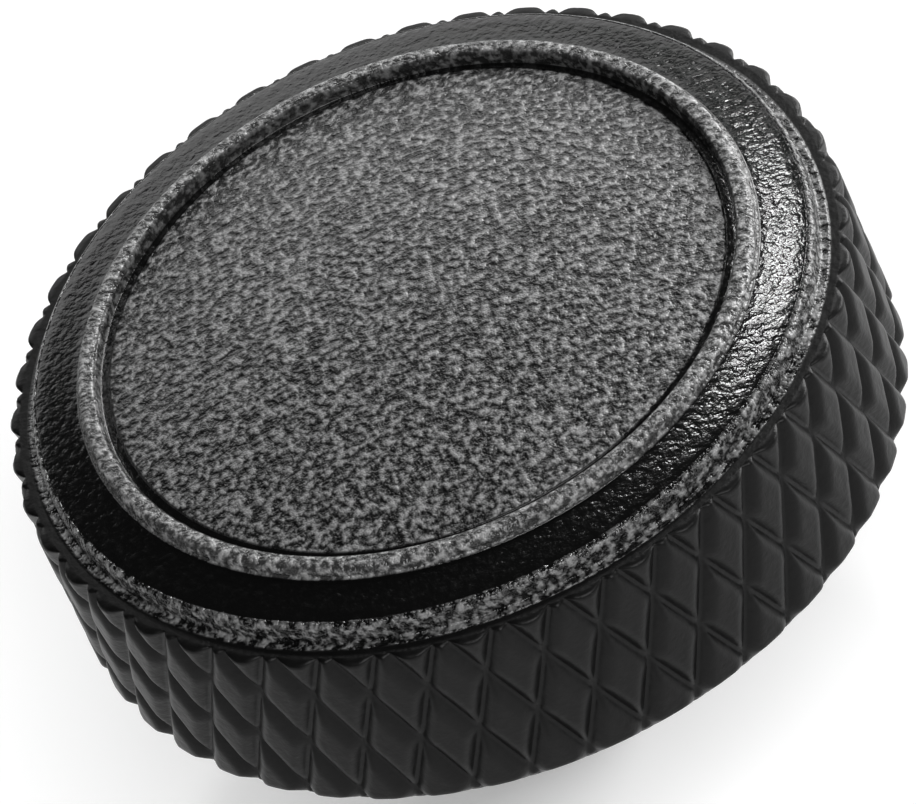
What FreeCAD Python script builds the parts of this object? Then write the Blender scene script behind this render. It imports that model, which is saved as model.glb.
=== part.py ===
import FreeCAD, Part
import os
import Sketcher

# A soft shutter release button: a small knurled head with a low domed top for the
# fingertip, set inside a raised lip, and a tapered stem that screws into the socket of a
# camera's shutter release. The whole button is turned from one bar. Its origin is the
# centre of the seat, the flat underside of the head. Z is the turning axis and points
# out of the domed top.

SIZES = {
    # knurled band round the head
    "knurl_diameter": 12.0,
    "knurl_height": 2.93,
    "knurl_count": 45,
    "knurl_angle": 23.0,
    "knurl_row_height": 1.21,
    "groove_depth": 0.15,
    "groove_flank_angle": 45.0,
    "knurl_top_chamfer": 0.04,
    "knurl_foot_chamfer": 0.17,
    # smooth collar above the knurl and a step in from it
    "collar_step": 0.41,
    "collar_height": 0.33,
    "collar_round": 0.14,
    # shoulder that rises gently from the collar's edge to the foot of the lip
    "shoulder_width": 0.76,
    "shoulder_rise": 0.12,
    # raised lip round the finger face
    "lip_width": 0.34,
    "lip_height": 0.16,
    "lip_outer_round": 0.11,
    "lip_inner_round": 0.05,
    # finger face: a low dome whose edge lies a small drop below the lip
    "face_drop": 0.17,
    "face_rise": 0.55,
    # stem with the tapered release thread, its runout neck and its tip
    "neck_diameter": 2.9,
    "neck_length": 0.5,
    "thread_root_diameter": 3.6,
    "thread_tip_diameter": 2.85,
    "thread_length": 3.6,
    "thread_lead_in": 0.25,
}


def make_sheet(doc):
    """Puts every driving dimension in a cell of its own, with its name as the alias."""
    sheet = doc.addObject("Spreadsheet::Sheet", "dims")
    for row, (name, value) in enumerate(SIZES.items(), start=1):
        sheet.set("A%d" % row, name)
        sheet.set("B%d" % row, str(value))
        sheet.setAlias("B%d" % row, name)
    doc.recompute()
    return sheet


def origin_feature(body, role):
    """The origin plane or axis of the body that has this role."""
    return next(f for f in body.Origin.OriginFeatures if f.Role == role)


def plane_sketch(body, name, role):
    """A new sketch flat on one of the body's own origin planes."""
    sketch = body.newObject("Sketcher::SketchObject", name)
    sketch.AttachmentSupport = [(origin_feature(body, role), "")]
    sketch.MapMode = "FlatFace"
    return sketch


def number(obj, text):
    """The value that an expression has now, as a plain number."""
    value = obj.evalExpression(text)
    return float(getattr(value, "Value", value))


def hold_start(sketch, side, name, across, up):
    """Ties the start of a side to its distances from the origin. None lays it on that axis.

    In a sketch's constraints, point 1 is a side's start, 2 its end and 3 an arc's centre.
    Curve -1 is the axis across, whose point 1 is the origin, and -2 is the axis up.
    """
    for axis, kind, text in ((-2, "DistanceX", across), (-1, "DistanceY", up)):
        if text is None:
            sketch.addConstraint(Sketcher.Constraint("PointOnObject", side, 1, axis))
            continue
        index = sketch.addConstraint(
            Sketcher.Constraint(kind, -1, 1, side, 1, number(sketch, text))
        )
        label = "%s_%s" % (name, "across" if kind == "DistanceX" else "up")
        sketch.renameConstraint(index, label)
        sketch.setExpression("Constraints." + label, text)


def draw_outline(sketch, corners, arc_from=None):
    """Draws a closed outline through named corners, each (name, across, up).

    The side that starts at the corner named arc_from rises to the vertical axis in
    an arc that is centred on it. All the others are straight.
    """
    spots = []
    for _, across, up in corners:
        x = number(sketch, across) if across else 0.0
        y = number(sketch, up) if up else 0.0
        spots.append(FreeCAD.Vector(x, y, 0))
    for i, (name, _, _) in enumerate(corners):
        start, end = spots[i], spots[(i + 1) % len(spots)]
        if name == arc_from:
            rise = end.y - start.y
            radius = (start.x ** 2 + rise ** 2) / (2 * rise)
            centre = FreeCAD.Vector(0, end.y - radius, 0)
            circle = Part.Circle(centre, FreeCAD.Vector(0, 0, 1), radius)
            sketch.addGeometry(Part.ArcOfCircle(circle, circle.parameter(start), circle.parameter(end)))
            sketch.addConstraint(Sketcher.Constraint("PointOnObject", i, 3, -2))
        else:
            sketch.addGeometry(Part.LineSegment(start, end))
    for i in range(len(corners)):
        after = (i + 1) % len(corners)
        sketch.addConstraint(Sketcher.Constraint("Coincident", i, 2, after, 1))
    for i, (name, across, up) in enumerate(corners):
        hold_start(sketch, i, name, across, up)


def turned(body, name, sketch):
    """Turns a sketch once round the body's Z axis, which adds what it sweeps."""
    feature = body.newObject("PartDesign::Revolution", name)
    feature.Profile = sketch
    feature.ReferenceAxis = (origin_feature(body, "Z_Axis"), [""])
    feature.Angle = 360
    return feature


def circle_edges(shape, radius, height, slack=0.001):
    """Names of the shape's circular edges with this radius at this height."""
    names = []
    for i, edge in enumerate(shape.Edges, start=1):
        if edge.Degenerated or not isinstance(edge.Curve, Part.Circle):
            continue
        if abs(edge.Curve.Radius - radius) < slack and abs(edge.Curve.Center.z - height) < slack:
            names.append("Edge%d" % i)
    return names


def dress_edge(doc, body, kind, name, size_property, size, radius, height):
    """Rounds or chamfers the circular edge whose radius and height the expressions give."""
    doc.recompute()
    base = body.Tip
    edges = circle_edges(base.Shape, number(body, radius), number(body, height))
    feature = body.newObject(kind, name)
    feature.Base = (base, edges)
    feature.setExpression(size_property, size)
    return feature


def add_head(body):
    """Turns the whole head: knurl blank, collar, shoulder, lip and the domed face in it."""
    sketch = plane_sketch(body, "head_outline", "XZ_Plane")
    draw_outline(sketch, [
        ("seat_centre", None, None),
        ("knurl_foot", "dims.knurl_diameter / 2", None),
        ("knurl_top", "dims.knurl_diameter / 2", "dims.knurl_height"),
        ("collar_foot", COLLAR_RADIUS, "dims.knurl_height"),
        ("collar_top", COLLAR_RADIUS, COLLAR_TOP),
        ("lip_foot", LIP_RADIUS, SHOULDER_TOP),
        ("lip_outside", LIP_RADIUS, LIP_TOP),
        ("lip_inside", FACE_RADIUS, LIP_TOP),
        ("face_edge", FACE_RADIUS, LIP_TOP + " - dims.face_drop"),
        ("face_centre", None, LIP_TOP + " - dims.face_drop + dims.face_rise"),
    ], arc_from="face_edge")
    turned(body, "head", sketch)


def add_stem(body):
    """Turns the stem: a runout neck under the seat, then the tapered thread's outer form."""
    sketch = plane_sketch(body, "stem_outline", "XZ_Plane")
    neck_end = "-dims.neck_length"
    tip = "-(dims.neck_length + dims.thread_length)"
    draw_outline(sketch, [
        ("neck_centre", None, None),
        ("tip_centre", None, tip),
        ("tip_edge", "dims.thread_tip_diameter / 2 - dims.thread_lead_in", tip),
        ("thread_tip", "dims.thread_tip_diameter / 2", tip + " + dims.thread_lead_in"),
        ("thread_root", "dims.thread_root_diameter / 2",
         neck_end + " - (dims.thread_root_diameter - dims.neck_diameter) / 2"),
        ("neck_foot", "dims.neck_diameter / 2", neck_end),
        ("neck_top", "dims.neck_diameter / 2", None),
    ])
    turned(body, "stem", sketch)


def groove_sketch(body, name, slant):
    """The V of one knurling groove, square to the groove's own slanting path."""
    sketch = plane_sketch(body, name, "XY_Plane")
    sketch.AttachmentOffset = FreeCAD.Placement(
        FreeCAD.Vector(0, 0, number(body, "dims.knurl_row_height")),
        FreeCAD.Rotation(FreeCAD.Vector(1, 0, 0), number(body, slant)),
    )
    sketch.setExpression("AttachmentOffset.Base.z", "dims.knurl_row_height")
    sketch.setExpression("AttachmentOffset.Rotation.Angle", slant)
    # the V runs on past the band by its own depth again, so that it opens cleanly
    mouth = "dims.knurl_diameter / 2 + dims.groove_depth"
    half_mouth = "2 * dims.groove_depth * tan(dims.groove_flank_angle * 1 deg)"
    draw_outline(sketch, [
        ("root", "dims.knurl_diameter / 2 - dims.groove_depth", None),
        ("mouth_right", mouth, "-" + half_mouth),
        ("mouth_left", mouth, half_mouth),
    ])
    return sketch


def add_knurl(doc, body):
    """Cuts both hands of slanting V grooves, which leave the diamonds standing.

    The band is so short that a straight slanting cut keeps within 0.05 mm of the
    depth that a knurling wheel's spiral groove would have.
    """
    cuts = []
    for hand, slant in (("right", "dims.knurl_angle"), ("left", "-dims.knurl_angle")):
        cut = body.newObject("PartDesign::Pocket", "groove_" + hand)
        cut.Profile = groove_sketch(body, "groove_%s_outline" % hand, slant)
        # half the length to each side of the row, which is well past both ends of the band
        cut.SideType = "Symmetric"
        cut.setExpression("Length", "4 * dims.knurl_height")
        cuts.append(cut)
        doc.recompute()
    pattern = body.newObject("PartDesign::PolarPattern", "knurl")
    pattern.Originals = cuts
    pattern.Axis = (origin_feature(body, "Z_Axis"), [""])
    pattern.Angle = 360
    pattern.setExpression("Occurrences", "dims.knurl_count")
    body.Tip = pattern


COLLAR_RADIUS = "(dims.knurl_diameter / 2 - dims.collar_step)"
LIP_RADIUS = "(%s - dims.shoulder_width)" % COLLAR_RADIUS
FACE_RADIUS = "(%s - dims.lip_width)" % LIP_RADIUS
COLLAR_TOP = "(dims.knurl_height + dims.collar_height)"
SHOULDER_TOP = "(%s + dims.shoulder_rise)" % COLLAR_TOP
LIP_TOP = "(%s + dims.lip_height)" % SHOULDER_TOP


def make_button(doc):
    """The button, in the order in which it would be turned and knurled."""
    body = doc.addObject("PartDesign::Body", "release_button")
    body.Label = "release_button"
    add_head(body)
    knurl_radius = "dims.knurl_diameter / 2"
    dress_edge(doc, body, "PartDesign::Chamfer", "knurl_top_chamfer", "Size", "dims.knurl_top_chamfer",
               knurl_radius, "dims.knurl_height")
    dress_edge(doc, body, "PartDesign::Chamfer", "knurl_foot_chamfer", "Size", "dims.knurl_foot_chamfer",
               knurl_radius, "0")
    dress_edge(doc, body, "PartDesign::Fillet", "collar_round", "Radius", "dims.collar_round",
               COLLAR_RADIUS, COLLAR_TOP)
    dress_edge(doc, body, "PartDesign::Fillet", "lip_outer_round", "Radius", "dims.lip_outer_round",
               LIP_RADIUS, LIP_TOP)
    dress_edge(doc, body, "PartDesign::Fillet", "lip_inner_round", "Radius", "dims.lip_inner_round",
               FACE_RADIUS, LIP_TOP)
    add_stem(body)
    add_knurl(doc, body)
    doc.recompute()
    return body


def check_and_write(doc, bodies):
    """Stops on any failed feature or bad solid, then writes one file for each piece."""
    for obj in doc.Objects:
        if "Invalid" in obj.State or "Error" in obj.State:
            raise RuntimeError("%s failed to build" % obj.Label)
    os.makedirs("parts", exist_ok=True)
    for body in bodies:
        shape = body.Shape
        if shape.isNull() or not shape.isValid() or len(shape.Solids) != 1:
            raise RuntimeError("%s is not one sound solid" % body.Label)
        shape.exportStep(os.path.join("parts", body.Label + ".step"))
        print("%s: %.3f mm3, %d faces" % (body.Label, shape.Volume, len(shape.Faces)))


document = FreeCAD.newDocument("soft_release")
make_sheet(document)
button = make_button(document)
check_and_write(document, [button])
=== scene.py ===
# %% [markdown]
# A soft shutter release button is a knurled head about as wide as a fingertip, with a
# tapered, threaded stem that screws into the middle of a camera's own release button. The
# real one is turned from a single bar, knurled, grit-blasted and blackened, so here it is
# one mesh and one material. The packed CAD model gives its size and place. It is loaded
# first, and its box is kept, because nothing drawn here may be larger than it.

# %% Load the frame
import bpy
from math import atan2, cos, pi, radians, sin, tan
from mathutils import Matrix, Vector


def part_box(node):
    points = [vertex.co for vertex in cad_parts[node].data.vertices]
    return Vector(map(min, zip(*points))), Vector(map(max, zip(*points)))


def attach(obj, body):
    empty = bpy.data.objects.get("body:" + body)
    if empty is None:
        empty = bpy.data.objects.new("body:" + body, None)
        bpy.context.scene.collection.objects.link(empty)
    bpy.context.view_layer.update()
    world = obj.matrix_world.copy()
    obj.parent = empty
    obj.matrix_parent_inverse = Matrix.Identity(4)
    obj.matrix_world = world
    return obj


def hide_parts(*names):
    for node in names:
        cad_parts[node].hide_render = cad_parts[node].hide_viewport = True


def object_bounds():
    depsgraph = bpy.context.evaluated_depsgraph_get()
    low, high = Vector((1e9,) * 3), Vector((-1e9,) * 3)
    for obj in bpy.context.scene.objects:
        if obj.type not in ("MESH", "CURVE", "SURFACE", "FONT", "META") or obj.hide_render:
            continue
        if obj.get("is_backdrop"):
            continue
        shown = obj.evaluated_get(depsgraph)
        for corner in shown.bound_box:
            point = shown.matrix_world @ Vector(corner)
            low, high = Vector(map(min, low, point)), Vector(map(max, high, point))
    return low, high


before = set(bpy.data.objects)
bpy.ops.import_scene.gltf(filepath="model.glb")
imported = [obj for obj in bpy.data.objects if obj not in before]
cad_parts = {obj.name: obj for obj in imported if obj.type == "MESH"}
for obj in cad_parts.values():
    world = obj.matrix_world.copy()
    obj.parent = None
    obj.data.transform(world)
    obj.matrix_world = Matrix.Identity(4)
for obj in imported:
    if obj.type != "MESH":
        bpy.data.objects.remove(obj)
CAD_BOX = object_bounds()
MM = 0.001
low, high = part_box("release_button")
print("CAD box in mm:", [round(v / MM, 3) for v in low], [round(v / MM, 3) for v in high])

# %% [markdown]
# The sizes are in millimetres, measured from the seat, which is the flat underside of the
# head. The three that the frame can tell are read from it: the radius over the knurl, the
# top of the domed finger face and the depth of the stem's tip. The others were measured in
# the photograph, or are those of the standard socket that the stem has to fit. From the axis
# outwards the head has the face, whose edge rolls over into a narrow channel, then the
# raised lip, the shoulder, the collar with its rounded edge, and the knurled band.

# %% Sizes of the face, the channel and the lip
FACE_TOP = high.z / MM
FACE_SPHERE = 18.6
ROLL_RADIUS = 4.39
ROLL_ROUND = 0.2
CHANNEL_RADIUS = 4.51
CHANNEL_FLOOR = 3.35
CHANNEL_ROUND = 0.01
LIP_INSIDE = 4.56
LIP_DRAFT = 0.02
LIP_RADIUS = 4.83
LIP_TOP = 3.55
LIP_FOOT = 3.38
LIP_INNER_ROUND = 0.08
LIP_OUTER_ROUND = 0.11
LIP_FOOT_ROUND = 0.04
print("face top at", round(FACE_TOP, 3), "mm, lip", round(LIP_RADIUS - LIP_INSIDE, 3), "mm wide")

# %% Sizes of the collar and the knurled band
COLLAR_RADIUS = 5.59
COLLAR_TOP = 3.26
COLLAR_ROUND = 0.14
COLLAR_FOOT_ROUND = 0.03
KNURL_RADIUS = high.x / MM
KNURL_TOP = 2.93
KNURL_TOP_CHAMFER = 0.04
KNURL_FOOT_CHAMFER = 0.17
KNURL_COUNT = 45
KNURL_ANGLE = radians(23)
KNURL_ROW = 1.21
GROOVE_DEPTH = 0.15
GROOVE_FLANK = radians(45)
DIAMOND_EDGE_ROUND = 0.12
KNURL_PITCH = 2 * pi * KNURL_RADIUS / KNURL_COUNT
print(KNURL_COUNT, "diamonds round the band, one every", round(KNURL_PITCH, 3), "mm")

# %% Sizes of the stem
NECK_RADIUS = 1.45
NECK_END = -0.5
NECK_TOP_ROUND = 0.08
NECK_FOOT_ROUND = 0.05
THREAD_ROOT_RADIUS = 1.8
THREAD_START = NECK_END - (THREAD_ROOT_RADIUS - NECK_RADIUS)
THREAD_TIP_RADIUS = 1.425
THREAD_PITCH = 0.5
THREAD_DEPTH = 0.27
THREAD_FLAT = 0.1
LEAD_IN = 0.25
STEM_TIP = low.z / MM
print("thread from", round(THREAD_START, 3), "down to", round(STEM_TIP, 3))


# %% [markdown]
# A turned piece is a profile spun about its axis. A Screw modifier could spin it, but the
# knurl and the thread need to know of each vertex which ring and column it is on, so the
# spinning is written out further down. The profile is a list of corners, and each corner
# is rounded a little, because no real edge is perfectly sharp and it is the round that
# catches the light. Each point of the profile becomes one ring of the mesh. A ring also
# says how many neighbouring columns share a vertex: 1 in the knurl, where the diamonds
# need every column, and more on the plain faces, which need few.

# %% Round a corner
def arc_at(before, corner, after, radius, steps=4):
    """The points of a small arc that rounds one corner of the profile."""
    towards, onward = (before - corner).normalized(), (after - corner).normalized()
    half = towards.angle(onward) / 2
    reach = radius / tan(half)
    centre = corner + (towards + onward).normalized() * (radius / sin(half))
    first, last = corner + towards * reach, corner + onward * reach
    start = atan2(first.y - centre.y, first.x - centre.x)
    sweep = atan2(last.y - centre.y, last.x - centre.x) - start
    sweep -= 2 * pi * round(sweep / (2 * pi))
    angles = [start + sweep * i / steps for i in range(steps + 1)]
    return [centre + radius * Vector((cos(a), sin(a))) for a in angles]


sample = arc_at(Vector((0, 1)), Vector((0, 0)), Vector((1, 0)), 0.5)
print("a square corner, rounded:", [tuple(round(v, 2) for v in point) for point in sample])


# %% Turn corners into rings
def rounded_profile(corners, merge, spacing):
    """Rings (radius, height, merge) along corners given as (radius, height, round)."""
    points = [Vector((r, z)) for r, z, _ in corners]
    path = [points[0]]
    for i in range(1, len(points) - 1):
        if corners[i][2]:
            path += arc_at(points[i - 1], points[i], points[i + 1], corners[i][2])
        else:
            path.append(points[i])
    path.append(points[-1])
    rings = [(*path[0], merge)]
    for a, b in zip(path, path[1:]):
        steps = max(1, round((b - a).length / spacing))
        rings += [(*a.lerp(b, i / steps), merge) for i in range(1, steps + 1)]
    return rings


COLUMNS_PER_DIAMOND = 20
COLUMNS = KNURL_COUNT * COLUMNS_PER_DIAMOND
PLAIN_MERGE, STEM_MERGE = 3, 5
print("columns in the knurl:", COLUMNS, "on the plain rings:", COLUMNS // PLAIN_MERGE)


# %% [markdown]
# The finger face is a low dome, which tells a fingertip where the middle is. It is part of a
# large sphere, so its rings lie on an arc. They are far apart in the flat middle and closer
# near the edge, and in the middle fewer columns are kept, because there they crowd together.

# %% Rings of the face
FACE_RINGS = ((0, COLUMNS), (0.05, 45), (0.12, 45), (0.2, 9), (0.3, 9), (0.4, 9), (0.5, 3),
              (0.6, 3), (0.7, 3), (0.8, 3), (0.88, 3), (0.94, 3))


def face_height(r):
    """Height of the domed face at a distance from the axis."""
    return FACE_TOP - FACE_SPHERE + (FACE_SPHERE ** 2 - r ** 2) ** 0.5


face = [(share * ROLL_RADIUS, face_height(share * ROLL_RADIUS), merge)
        for share, merge in FACE_RINGS]
print("face rings:", len(face), "and the dome drops", round(FACE_TOP - face_height(ROLL_RADIUS), 3))

# %% [markdown]
# Beyond the dome come the roll of its edge, the channel, the lip, the shoulder that slopes
# down from the lip, and the collar's rounded edge and wall. These are straight lines with
# rounded corners, so a list of corners says them all.

# %% Rings of the channel, the lip and the collar
ROLL_START = ROLL_RADIUS - 0.1
COLLAR_FOOT_END = COLLAR_RADIUS + 0.06
lip_and_collar = rounded_profile([
    (ROLL_START, face_height(ROLL_START), 0),
    (ROLL_RADIUS, face_height(ROLL_RADIUS), ROLL_ROUND),
    (CHANNEL_RADIUS, CHANNEL_FLOOR, CHANNEL_ROUND),
    (LIP_INSIDE - LIP_DRAFT, CHANNEL_FLOOR, CHANNEL_ROUND),
    (LIP_INSIDE, LIP_TOP, LIP_INNER_ROUND),
    (LIP_RADIUS, LIP_TOP, LIP_OUTER_ROUND),
    (LIP_RADIUS, LIP_FOOT, LIP_FOOT_ROUND),
    (COLLAR_RADIUS, COLLAR_TOP, COLLAR_ROUND),
    (COLLAR_RADIUS, KNURL_TOP, COLLAR_FOOT_ROUND),
    (COLLAR_FOOT_END, KNURL_TOP, 0),
], merge=PLAIN_MERGE, spacing=0.15)
print("rings from the face's edge to the collar's foot:", len(lip_and_collar))

# %% [markdown]
# A knurling tool presses two crossing sets of slanting grooves into the band. The band's
# rings are spaced so that one row further down, both sets have moved by exactly half a
# column. With each row shifted by half a column, every groove bottom then lies along mesh
# edges, and the diamonds come out crisp with few faces. A ring that comes close to the edge
# of a chamfer is moved onto it. The grooves also run out through the band's flat ends, which
# get narrow rings of their own.

# %% Rings of the knurl
ROW_STEP = KNURL_RADIUS * (2 * pi / COLUMNS) / 2 / tan(KNURL_ANGLE)
TOO_CLOSE = 0.6 * ROW_STEP
END_FACE_RADII = (5.69, 5.73, 5.77, 5.81, 5.85)
SEAT_EDGE_RADII = (5.79, 5.75)


def knurl_heights():
    """Heights of the band's rings from the top down, with one on each edge."""
    rows = range(-int(KNURL_ROW / ROW_STEP), int((KNURL_TOP - KNURL_ROW) / ROW_STEP) + 1)
    heights = [KNURL_ROW + row * ROW_STEP for row in rows]
    for edge in (0.0, KNURL_FOOT_CHAMFER, KNURL_TOP - KNURL_TOP_CHAMFER, KNURL_TOP):
        heights = [z for z in heights if abs(z - edge) > TOO_CLOSE] + [edge]
    return sorted(heights, reverse=True)


def knurl_radius(z):
    """Radius over the diamonds, which the chamfers reduce at the top and at the foot."""
    return KNURL_RADIUS - max(0.0, z - (KNURL_TOP - KNURL_TOP_CHAMFER), KNURL_FOOT_CHAMFER - z)


knurl = [(r, KNURL_TOP, 1) for r in END_FACE_RADII]
knurl += [(knurl_radius(z), z, 1) for z in knurl_heights()]
knurl += [(r, 0.0, 1) for r in SEAT_EDGE_RADII]
print("knurl rings:", len(knurl), "in steps of", round(ROW_STEP, 4), "mm")

# %% [markdown]
# Below the head come the flat seat, the plain neck and the tapered stem. The stem's rings
# follow the crests of its thread. They are close together, because the thread is cut into
# them later and each of its turns needs a dozen rings.

# %% Rings of the seat and the stem
SEAT_RADIUS = 5.7
THREAD_BEVEL = 0.05
RINGS_PER_PITCH = 12
TIP_RINGS = ((1.1, 15), (0.6, 45), (0.0, COLUMNS))
seat_and_neck = rounded_profile([
    (SEAT_RADIUS, 0.0, 0),
    (NECK_RADIUS, 0.0, NECK_TOP_ROUND),
    (NECK_RADIUS, NECK_END, NECK_FOOT_ROUND),
    (THREAD_ROOT_RADIUS - THREAD_BEVEL, THREAD_START + THREAD_BEVEL, 0),
], merge=STEM_MERGE, spacing=0.4)
thread = rounded_profile([
    (THREAD_ROOT_RADIUS, THREAD_START, 0),
    (THREAD_TIP_RADIUS, STEM_TIP + LEAD_IN, 0),
    (THREAD_TIP_RADIUS - LEAD_IN, STEM_TIP, 0),
], merge=STEM_MERGE, spacing=THREAD_PITCH / RINGS_PER_PITCH)
tip = [(r, STEM_TIP, merge) for r, merge in TIP_RINGS]
RINGS = face + lip_and_collar + knurl + seat_and_neck + thread + tip
print("stem rings:", len(thread) + len(tip), "and rings in all:", len(RINGS))


# %% [markdown]
# Sums are easier to read as Python than as boxes and wires. A Wire stands for one output
# socket, and adding or multiplying wires adds the Math node that does it. A Graph adds any
# other node: its settings are set first, then its inputs are filled with numbers or wires.
# The same two classes serve the geometry here and the material further down.

# %% Wires that can be added and multiplied
class Wire:
    """An output socket that Python's operators can work with."""

    def __init__(self, graph, socket):
        self.graph, self.socket = graph, socket

    def __add__(self, other): return self.graph.maths("ADD", self, other)
    def __radd__(self, other): return self.graph.maths("ADD", other, self)
    def __sub__(self, other): return self.graph.maths("SUBTRACT", self, other)
    def __rsub__(self, other): return self.graph.maths("SUBTRACT", other, self)
    def __mul__(self, other): return self.graph.maths("MULTIPLY", self, other)
    def __rmul__(self, other): return self.graph.maths("MULTIPLY", other, self)
    def __truediv__(self, other): return self.graph.maths("DIVIDE", self, other)
    def __rtruediv__(self, other): return self.graph.maths("DIVIDE", other, self)
    def __abs__(self): return self.graph.maths("ABSOLUTE", self)
    def __round__(self): return self.graph.maths("ROUND", self)


print("a wire can be added, subtracted, multiplied, divided and rounded")


# %% Graphs that add nodes
class Graph:
    """A node tree that is written from left to right."""

    def __init__(self, tree):
        self.tree = tree

    def node(self, kind, settings=None, inputs=None, output=0):
        """Adds a node, sets it, fills its inputs and returns one output as a wire."""
        node = self.tree.nodes.new(kind)
        for name, value in (settings or {}).items():
            setattr(node, name, value)
        for key, value in (inputs or {}).items():
            if isinstance(value, Wire):
                self.tree.links.new(value.socket, node.inputs[key])
            else:
                node.inputs[key].default_value = value
        return Wire(self, node.outputs[output])

    def maths(self, operation, *values):
        """A Math node on one, two or three values."""
        return self.node("ShaderNodeMath", {"operation": operation}, dict(enumerate(values)))

    def axis(self, vector, letter):
        """One coordinate of a vector."""
        return self.node("ShaderNodeSeparateXYZ", None, {0: vector}, letter)

    def step(self, value, low, high):
        """Rises smoothly from 0 to 1 as the value goes from low to high."""
        return self.node("ShaderNodeMapRange", {"interpolation_type": "SMOOTHSTEP"},
                         {"Value": value, "From Min": low, "From Max": high})


print("a graph has", [name for name in vars(Graph) if not name.startswith("_")])

# %% [markdown]
# The mesh itself is a Geometry Nodes tree, because its shape follows a rule, and with named
# inputs the same tree could turn and knurl another button. It takes the profile and the
# finish as well as the sizes. The modifier that runs it will be given its inputs by their
# identifiers, so these are noted here.

# %% The tree and its named inputs
TREE_SIZES = {
    "Columns": COLUMNS, "Diamonds": KNURL_COUNT, "Knurl radius": KNURL_RADIUS,
    "Knurl row": KNURL_ROW, "Knurl slope": tan(KNURL_ANGLE),
    "Groove spacing": KNURL_PITCH * cos(KNURL_ANGLE), "Groove depth": GROOVE_DEPTH,
    "Groove flare": tan(GROOVE_FLANK), "Edge round": DIAMOND_EDGE_ROUND,
    "Thread pitch": THREAD_PITCH, "Thread depth": THREAD_DEPTH,
}
tree = bpy.data.node_groups.new("turn_and_knurl", "GeometryNodeTree")
tree_inputs = [("Profile", "Geometry"), ("Finish", "Material")]
tree_inputs += [(name, "Float") for name in TREE_SIZES]
for name, kind in tree_inputs:
    tree.interface.new_socket(name, in_out="INPUT", socket_type="NodeSocket" + kind)
identifiers = {socket.name: socket.identifier for socket in tree.interface.items_tree}
tree.interface.new_socket("Button", in_out="OUTPUT", socket_type="NodeSocketGeometry")
turning = Graph(tree)
entry = tree.nodes.new("NodeGroupInput")
given = {name: Wire(turning, entry.outputs[name]) for name in identifiers}
print("inputs of the tree:", ", ".join(given))

# %% [markdown]
# A flat grid has one line of vertices for each ring and one for each column, a unit apart
# and centred, so that a vertex's own position tells which ring and which column it is. The
# first and the last column will meet at the seam, so there is one more than the knurl needs.

# %% One vertex for each ring and column
profile, columns = given["Profile"], given["Columns"]
ring_count = turning.node("GeometryNodeAttributeDomainSize", None, {0: profile}, "Point Count")
grid = turning.node("GeometryNodeMeshGrid", None, {
    "Size X": ring_count - 1, "Size Y": columns,
    "Vertices X": ring_count, "Vertices Y": columns + 1})
place = turning.node("GeometryNodeInputPosition")
ring = round(turning.axis(place, "X") + (ring_count - 1) / 2)
column = round(turning.axis(place, "Y") + columns / 2)
print("grid:", len(RINGS), "by", COLUMNS + 1, "vertices")


# %% [markdown]
# Each vertex looks its ring up in the profile, which is the object's own mesh. The profile's
# points hold the radius and the height, and three numbers besides: how many columns share a
# vertex, how far the ring's columns are shifted along the grooves, and how much of the
# thread is cut there. The column then becomes a part of one turn about the axis.

# %% Look the ring up in the profile
def of_ring(value, settings=None):
    """A value of the profile's points, read at this vertex's ring."""
    return turning.node("GeometryNodeSampleIndex", settings,
                        {"Geometry": profile, "Value": value, "Index": ring})


def number_of_ring(name):
    return of_ring(turning.node("GeometryNodeInputNamedAttribute", {"data_type": "FLOAT"},
                                {"Name": name}))


point = of_ring(place, {"data_type": "FLOAT_VECTOR"})
turned_radius, height = turning.axis(point, "X"), turning.axis(point, "Z")
merge, slant = number_of_ring("merge"), number_of_ring("slant")
turns = (round(column / merge) * merge + slant) / columns
print("nodes so far:", len(tree.nodes))

# %% [markdown]
# A groove of a knurl is a V that winds round the band. It could be cut by ninety Boolean
# wedges, which is slow and leaves ragged faces, or worked out as a sum, as here. In each
# set the grooves are equally spaced, so the distance to the nearest one is the distance to
# the nearest whole number, and the V's depth falls off with it. Where both sets cut, the
# deeper one counts, and a smooth maximum leaves the slightly rounded edges that the pressed
# metal has. The lesser of the turned radius and the knurled one is kept, so the chamfers
# and the collar stay as turned.

# %% Cut the knurl
drift = ((height - given["Knurl row"]) * given["Knurl slope"]
         / (2 * pi * given["Knurl radius"]))


def groove(hand):
    """Depth of one set of grooves. The hand is 1 for one slant and -1 for the other."""
    diamonds = (turns + hand * drift) * given["Diamonds"]
    gap = abs(diamonds - round(diamonds)) * given["Groove spacing"]
    return given["Groove depth"] - gap / given["Groove flare"]


cut = turning.maths("SMOOTH_MAX", groove(1), groove(-1), given["Edge round"])
knurled_radius = turning.maths("SMOOTH_MIN", turned_radius, given["Knurl radius"] - cut,
                               given["Edge round"])
print("grooves in each set:", KNURL_COUNT, "nodes so far:", len(tree.nodes))

# %% [markdown]
# The thread is one groove that winds down the stem, a pitch lower after each turn. A bump
# in the material would leave the stem's outline smooth, so it is cut into the mesh. Height
# in pitches less the part of a turn says how far a vertex is from the nearest bottom of the
# groove. Bottom and crest are a little flat, as a die leaves them.

# %% Cut the thread
pitches = height / given["Thread pitch"] - turns
from_bottom = abs(pitches - round(pitches)) * 2
tooth = turning.step(from_bottom, THREAD_FLAT, 1 - THREAD_FLAT)
radius = knurled_radius - (1 - tooth) * number_of_ring("threaded") * given["Thread depth"]
print("turns of thread:", round((THREAD_START - STEM_TIP) / THREAD_PITCH, 1))

# %% [markdown]
# Each vertex is now carried round the axis. Vertices that land on one spot are merged, which
# closes the seam and the poles and thins the plain faces. The four-sided faces are split
# along their shorter diagonal, which follows the grooves.

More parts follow.
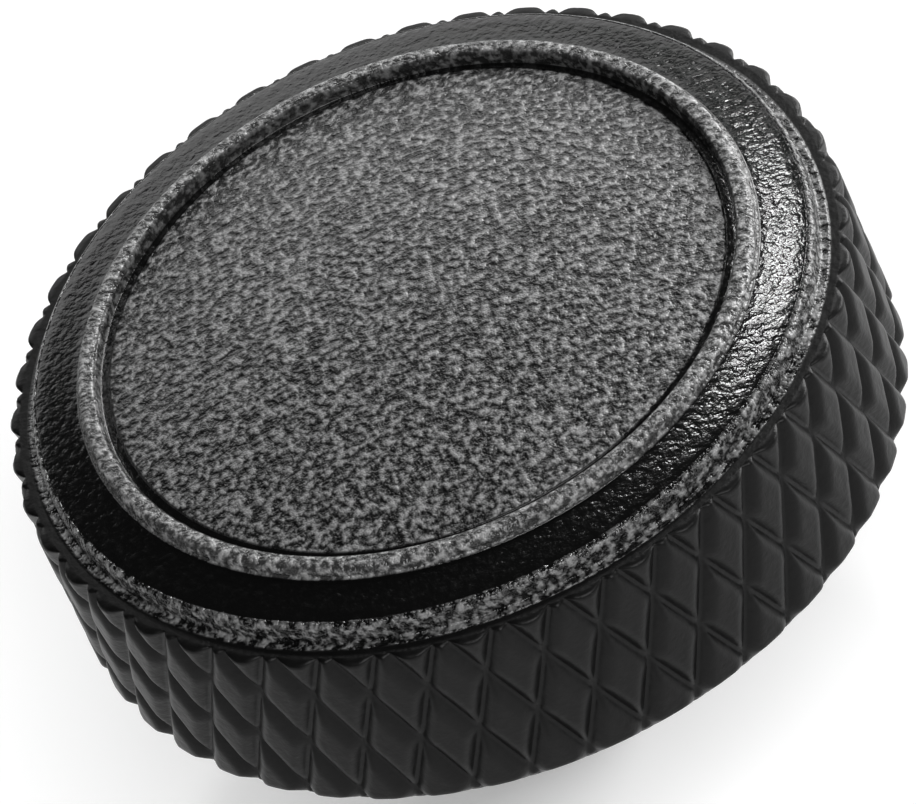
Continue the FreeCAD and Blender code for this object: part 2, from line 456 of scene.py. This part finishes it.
# %% Carry the grid round the axis and close it
SAME_SPOT = 0.002
angle = turns * (2 * pi)
spot = turning.node("ShaderNodeCombineXYZ", None, {
    0: radius * turning.maths("COSINE", angle), 1: radius * turning.maths("SINE", angle),
    2: height})
turned = turning.node("GeometryNodeSetPosition", None, {"Geometry": grid, "Position": spot})
closed = turning.node("GeometryNodeMergeByDistance", None,
                      {"Geometry": turned, "Distance": SAME_SPOT})
split = turning.node("GeometryNodeTriangulate", {"quad_method": "SHORTEST_DIAGONAL"},
                     {"Mesh": closed})
smooth = turning.node("GeometryNodeSetShadeSmooth", None, {"Geometry": split})
real = turning.node("GeometryNodeRealizeInstances", None, {"Geometry": smooth})
finished = turning.node("GeometryNodeSetMaterial", None,
                        {"Geometry": real, "Material": given["Finish"]})
way_out = tree.nodes.new("NodeGroupOutput")
tree.links.new(finished.socket, way_out.inputs["Button"])
print("nodes in the tree:", len(tree.nodes))

# %% [markdown]
# The whole button is one blackened metal, but its parts are blasted to different degrees.
# The finger face, the top of the lip and the collar's edge are gritty, and the same masks
# place a painted highlight on the lip and painted glints on these three parts. The channel
# and the shoulder are smooth and nearly black, and the knurl is dull. Each part is picked
# out by its distance from the axis. The two radii of a pair are where its mask is 0 and
# where it is 1. The height keeps the seat and the stem out of the masks. Both are read in
# millimetres of the object's own space, so the pattern stays with the button.

# %% Pick out the parts of the head
TOP_STARTS = (KNURL_TOP - 0.1, KNURL_TOP - 0.02)
FACE_ENDS = (ROLL_RADIUS + 0.02, ROLL_RADIUS - 0.02)
LIP_WALL_STARTS = (LIP_INSIDE - 0.04, LIP_INSIDE - 0.01)
LIP_TOP_STARTS = (LIP_INSIDE + 0.005, LIP_INSIDE + 0.04)
# The lip's inner wall gets this share of the lip's grit, and of its painted highlight and painted
# glints.
LIP_WALL_GRIT_AND_PAINTED_LIGHT = 0.35
LIP_ENDS = (LIP_RADIUS + 0.05, LIP_RADIUS + 0.01)
COLLAR_STARTS = (COLLAR_RADIUS - 0.1, COLLAR_RADIUS - 0.04)
COLLAR_ENDS = (COLLAR_RADIUS + 0.16, COLLAR_RADIUS + 0.1)
BAND_STARTS = (COLLAR_RADIUS + 0.1, COLLAR_RADIUS + 0.16)

blackened_metal = bpy.data.materials.new("blackened_metal")
blackened_metal.use_nodes = True
metal = Graph(blackened_metal.node_tree)
own_place = metal.node("ShaderNodeTexCoord", None, None, "Object")
in_mm = metal.node("ShaderNodeVectorMath", {"operation": "SCALE"},
                   {0: own_place, "Scale": 1 / MM})
level = metal.node("ShaderNodeVectorMath", {"operation": "MULTIPLY"}, {0: in_mm, 1: (1, 1, 0)})
from_axis = metal.node("ShaderNodeVectorMath", {"operation": "LENGTH"}, {0: level}, "Value")
on_top = metal.step(metal.axis(in_mm, "Z"), *TOP_STARTS)
on_face = on_top * metal.step(from_axis, *FACE_ENDS)
lip_wall = LIP_WALL_GRIT_AND_PAINTED_LIGHT * metal.step(from_axis, *LIP_WALL_STARTS)
lip_top = (1 - LIP_WALL_GRIT_AND_PAINTED_LIGHT) * metal.step(from_axis, *LIP_TOP_STARTS)
on_lip = on_top * (lip_wall + lip_top) * metal.step(from_axis, *LIP_ENDS)
on_collar = (on_top * metal.step(from_axis, *COLLAR_STARTS)
             * metal.step(from_axis, *COLLAR_ENDS))
on_band = metal.step(from_axis, *BAND_STARTS)
print("masks use", len(blackened_metal.node_tree.nodes), "nodes")

# %% [markdown]
# Blasting leaves a fine grain, too fine to be worth faces of its own. One noise does two
# jobs: it raises the surface through a Bump node, and on its high spots on the face, the lip
# and the collar it paints pale specks into the colour, which are painted glints standing in
# for light caught by the grit. The smooth parts keep a faint unevenness, because a perfectly
# even black would look like plastic.

# %% Grain and painted glints
GRAIN = {"Scale": 9.0, "Detail": 2.5, "Roughness": 0.55}
GRAIN_HEIGHT = 0.0001
PLAIN_RELIEF, GRITTY_RELIEF, BAND_RELIEF_LESS = 0.13, 0.6, 0.04
SPECK_STARTS = (0.42, 0.70)
# The lip's extra grey is a painted highlight, standing in for the light that its rounded edges
# catch.
BLACK, LIP_PAINTED_HIGHLIGHT = 0.003, 0.03
# The speck values of the face, the lip and the collar are painted glints: pale colour on the
# grain's high spots, standing in for light caught by the grit.
FACE_PAINTED_GLINT, LIP_PAINTED_GLINT, COLLAR_PAINTED_GLINT = 0.23, 0.30, 0.24
ROUGHNESS, SPECK_ROUGHER, FACE_ROUGHER = 0.14, 0.08, 0.14

grain = metal.node("ShaderNodeTexNoise", None, {"Vector": in_mm, **GRAIN})
gritty = on_face + on_lip + on_collar
relief = grain * (PLAIN_RELIEF + gritty * GRITTY_RELIEF - on_band * BAND_RELIEF_LESS)
bump = metal.node("ShaderNodeBump", None,
                  {"Strength": 1.0, "Distance": GRAIN_HEIGHT, "Height": relief})
speck = metal.step(grain, *SPECK_STARTS)
# The colour is near-black, with a painted highlight over the whole lip and painted glints on the
# specks of the face, the lip and the collar.
shade = (BLACK + on_lip * LIP_PAINTED_HIGHLIGHT
         + speck * (on_face * FACE_PAINTED_GLINT + on_lip * LIP_PAINTED_GLINT + on_collar * COLLAR_PAINTED_GLINT))
grey = metal.node("ShaderNodeCombineColor", None, {0: shade, 1: shade, 2: shade})
roughness = ROUGHNESS + speck * SPECK_ROUGHER + on_face * FACE_ROUGHER
print("grain", GRAIN["Scale"], "to the millimetre,", len(blackened_metal.node_tree.nodes), "nodes")

# %% [markdown]
# Dyed black metal mirrors less than bare metal, and least where oil and dirt have dulled it,
# as in the knurl. How much a surface mirrors is better set as a plain number than painted,
# so there are two shaders, one for the head and a duller one for the band, and the band's
# mask mixes them.

# %% Mix the two shaders
BAND_COLOUR = (0.004, 0.004, 0.004, 1)
BAND_ROUGHNESS = 0.4
BAND_MIRRORING = 0.17
head_shader = Wire(metal, blackened_metal.node_tree.nodes["Principled BSDF"].outputs[0])
for name, value in (("Base Color", grey), ("Roughness", roughness), ("Normal", bump)):
    metal.tree.links.new(value.socket, head_shader.socket.node.inputs[name])
band_shader = metal.node("ShaderNodeBsdfPrincipled", None, {
    "Base Color": BAND_COLOUR, "Roughness": BAND_ROUGHNESS,
    "Specular IOR Level": BAND_MIRRORING, "Normal": bump})
mixed = metal.node("ShaderNodeMixShader", None, {0: on_band, 1: head_shader, 2: band_shader})
surface = blackened_metal.node_tree.nodes["Material Output"].inputs["Surface"]
metal.tree.links.new(mixed.socket, surface)
print("the finish has", len(blackened_metal.node_tree.nodes), "nodes")


# %% [markdown]
# The profile becomes a mesh of single points that carry the three numbers. The thread fades
# in at the neck and out at the tip, as a die leaves it. The rings of the band are shifted
# along one set of grooves, and the plain rings above and below it by as much as its ends.

# %% Write the profile down as points
THREAD_RUNOUT = THREAD_PITCH / 2
THREAD_AT_TIP = 0.35


def thread_share(z):
    """How much of the full thread depth is cut at this height, from 0 to 1."""
    fade_in, fade_out = (THREAD_START - z) / THREAD_RUNOUT, (z - STEM_TIP) / LEAD_IN
    return max(0.0, min(1.0, fade_in, fade_out + THREAD_AT_TIP))


def slant_of(z):
    """By how many columns a ring is shifted, so that it follows one set of grooves."""
    along = min(max(z, 0.0), KNURL_TOP) - KNURL_ROW
    return along * tan(KNURL_ANGLE) / KNURL_RADIUS / (2 * pi) * COLUMNS


points = bpy.data.meshes.new("release_button_profile")
points.from_pydata([(r, 0, z) for r, z, _ in RINGS], [], [])
carried = {"merge": [float(share) for _, _, share in RINGS],
           "slant": [slant_of(z) for _, z, _ in RINGS],
           "threaded": [thread_share(z) for _, z, _ in RINGS]}
for name, numbers in carried.items():
    points.attributes.new(name, "FLOAT", "POINT").data.foreach_set("value", numbers)
print("profile points:", len(points.vertices), "with", ", ".join(carried))

# %% [markdown]
# A modifier runs the tree on the profile. The evaluated result is copied into a plain mesh,
# which needs no modifier any more, and is brought from millimetres to metres.

# %% Make the button
blank = bpy.data.objects.new("profile", points)
bpy.context.scene.collection.objects.link(blank)
turner = blank.modifiers.new("turn and knurl", "NODES")
turner.node_group = tree
for name, value in TREE_SIZES.items():
    turner[identifiers[name]] = float(value)
turner[identifiers["Finish"]] = blackened_metal
evaluated = bpy.context.evaluated_depsgraph_get()
turned_mesh = bpy.data.meshes.new_from_object(blank.evaluated_get(evaluated),
                                              depsgraph=evaluated)
turned_mesh.transform(Matrix.Scale(MM, 4))
bpy.data.objects.remove(blank)
button = bpy.data.objects.new("soft_release", turned_mesh)
bpy.context.scene.collection.objects.link(button)
print("button:", len(turned_mesh.vertices), "vertices", len(turned_mesh.polygons), "triangles")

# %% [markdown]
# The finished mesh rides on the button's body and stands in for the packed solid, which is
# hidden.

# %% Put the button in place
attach(button, "root")
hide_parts("release_button")
print("button box in mm:", [[round(v / MM, 3) for v in corner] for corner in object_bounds()])

# %% [markdown]
# The button stands on the tip of its stem above a pale sheet, which is only scenery. The
# sheet glows a little, as a light table does, so that it stays nearly white behind the
# button and keeps only a soft shadow.

# %% Floor
FLOOR_HALF = 2.0
PAPER = {"Base Color": (0.86, 0.86, 0.86, 1), "Roughness": 0.9, "Specular IOR Level": 0.1,
         "Emission Color": (1, 1, 1, 1), "Emission Strength": 0.2}
sheet = bpy.data.meshes.new("floor")
sheet.from_pydata([(x * FLOOR_HALF, y * FLOOR_HALF, STEM_TIP * MM)
                   for x, y in ((-1, -1), (1, -1), (1, 1), (-1, 1))], [], [(0, 1, 2, 3)])
paper = bpy.data.materials.new("pale_paper")
paper.use_nodes = True
for name, value in PAPER.items():
    paper.node_tree.nodes["Principled BSDF"].inputs[name].default_value = value
sheet.materials.append(paper)
floor = bpy.data.objects.new("floor", sheet)
bpy.context.scene.collection.objects.link(floor)
floor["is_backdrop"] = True
print("floor at", round(STEM_TIP, 3), "mm")

# %% [markdown]
# The camera is turned and placed as the photograph's was: nearly square to the front, 43
# degrees up, rolled so that the button leans to the left, and with a long lens. Its own
# three axes are worked out first, and then it is moved back along its line of sight from
# a point beside the middle of the lip.

# %% Camera
CAMERA_AZIMUTH = radians(1.8)
CAMERA_ELEVATION = radians(43.4)
CAMERA_ROLL = radians(-25.0)
CAMERA_DISTANCE = 180.0
FOCAL_PIXELS = 13280
IMAGE_WIDTH = 916
SENSOR_WIDTH = 36.0
LIP_CENTRE = Vector((0, 0, 3.54))
RIGHT_OF_CENTRE = 0.613
BELOW_CENTRE = 1.39

round_z, up, roll = CAMERA_AZIMUTH, CAMERA_ELEVATION, CAMERA_ROLL
rightwards = Vector((cos(round_z), sin(round_z), 0))
back = Vector((cos(up) * sin(round_z), -cos(up) * cos(round_z), sin(up)))
upwards = back.cross(rightwards)
x_axis = rightwards * cos(roll) + upwards * sin(roll)
y_axis = upwards * cos(roll) - rightwards * sin(roll)
aim = LIP_CENTRE + x_axis * RIGHT_OF_CENTRE - y_axis * BELOW_CENTRE
lens = bpy.data.cameras.new("camera")
lens.sensor_width = SENSOR_WIDTH
lens.lens = FOCAL_PIXELS * SENSOR_WIDTH / IMAGE_WIDTH
lens.clip_start = 0.01
camera = bpy.data.objects.new("camera", lens)
camera.matrix_world = (Matrix.Translation((aim + back * CAMERA_DISTANCE) * MM)
                       @ Matrix((x_axis, y_axis, back)).transposed().to_4x4())
bpy.context.scene.collection.objects.link(camera)
bpy.context.scene.camera = camera
print("camera", CAMERA_DISTANCE, "mm away, lens", round(lens.lens), "mm")


# %% [markdown]
# Black metal shows little but what it mirrors, so each light is placed for the surface that
# mirrors it. The back panel is seen in the far half of the top, the right wing in the
# rounded edges on the right, and the small lamp in the shoulder on the right. The front
# fill lifts the near side of the knurl.

# %% A soft light that faces the button
def softbox(name, azimuth, elevation, distance, width, height, power, shape="RECTANGLE"):
    """An area light. Azimuth 0 is straight behind the button, 90 to its right."""
    round_z, up = radians(azimuth), radians(elevation)
    way = Vector((cos(up) * sin(round_z), cos(up) * cos(round_z), sin(up)))
    panel = bpy.data.lights.new(name, "AREA")
    panel.shape = shape
    panel.size, panel.size_y = width, height
    panel.energy = power
    light = bpy.data.objects.new(name, panel)
    light.matrix_world = (Matrix.Translation(way * distance)
                          @ way.to_track_quat("Z", "Y").to_matrix().to_4x4())
    bpy.context.scene.collection.objects.link(light)


softbox("back_panel", azimuth=4, elevation=12, distance=0.6, width=0.9, height=0.42, power=1.6)
softbox("right_wing", azimuth=60, elevation=15, distance=0.6, width=0.5, height=0.35, power=6.0)
softbox("key_lamp", azimuth=18, elevation=48, distance=0.6, width=0.08, height=0.08, power=0.6,
        shape="ELLIPSE")
softbox("front_fill", azimuth=170, elevation=48, distance=0.7, width=0.5, height=0.4, power=4.0)
print("lights:", sorted(light.name for light in bpy.data.lights))

# %% [markdown]
# The room itself is a dim, even grey, so that what no panel reaches isn't quite black. The
# Standard view shows colours as they are, without a film-like curve.

# %% The room
ROOM_GREY = (0.5, 0.5, 0.5, 1)
ROOM_STRENGTH = 0.03
world = bpy.data.worlds.new("studio")
world.use_nodes = True
world.node_tree.nodes["Background"].inputs["Color"].default_value = ROOM_GREY
world.node_tree.nodes["Background"].inputs["Strength"].default_value = ROOM_STRENGTH
bpy.context.scene.world = world
bpy.context.scene.view_settings.view_transform = "Standard"
print("room:", world.name, "at strength", ROOM_STRENGTH)

# %% [markdown]
# Last, the box round what was drawn is set beside the box of the packed model, and the
# scene is handed back to the frame.

# %% Set the boxes side by side and finish
VISUAL_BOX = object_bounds()
{"cad": [list(v) for v in CAD_BOX], "visual": [list(v) for v in VISUAL_BOX]}
print("visual box in mm:", [[round(v / MM, 3) for v in corner] for corner in VISUAL_BOX])
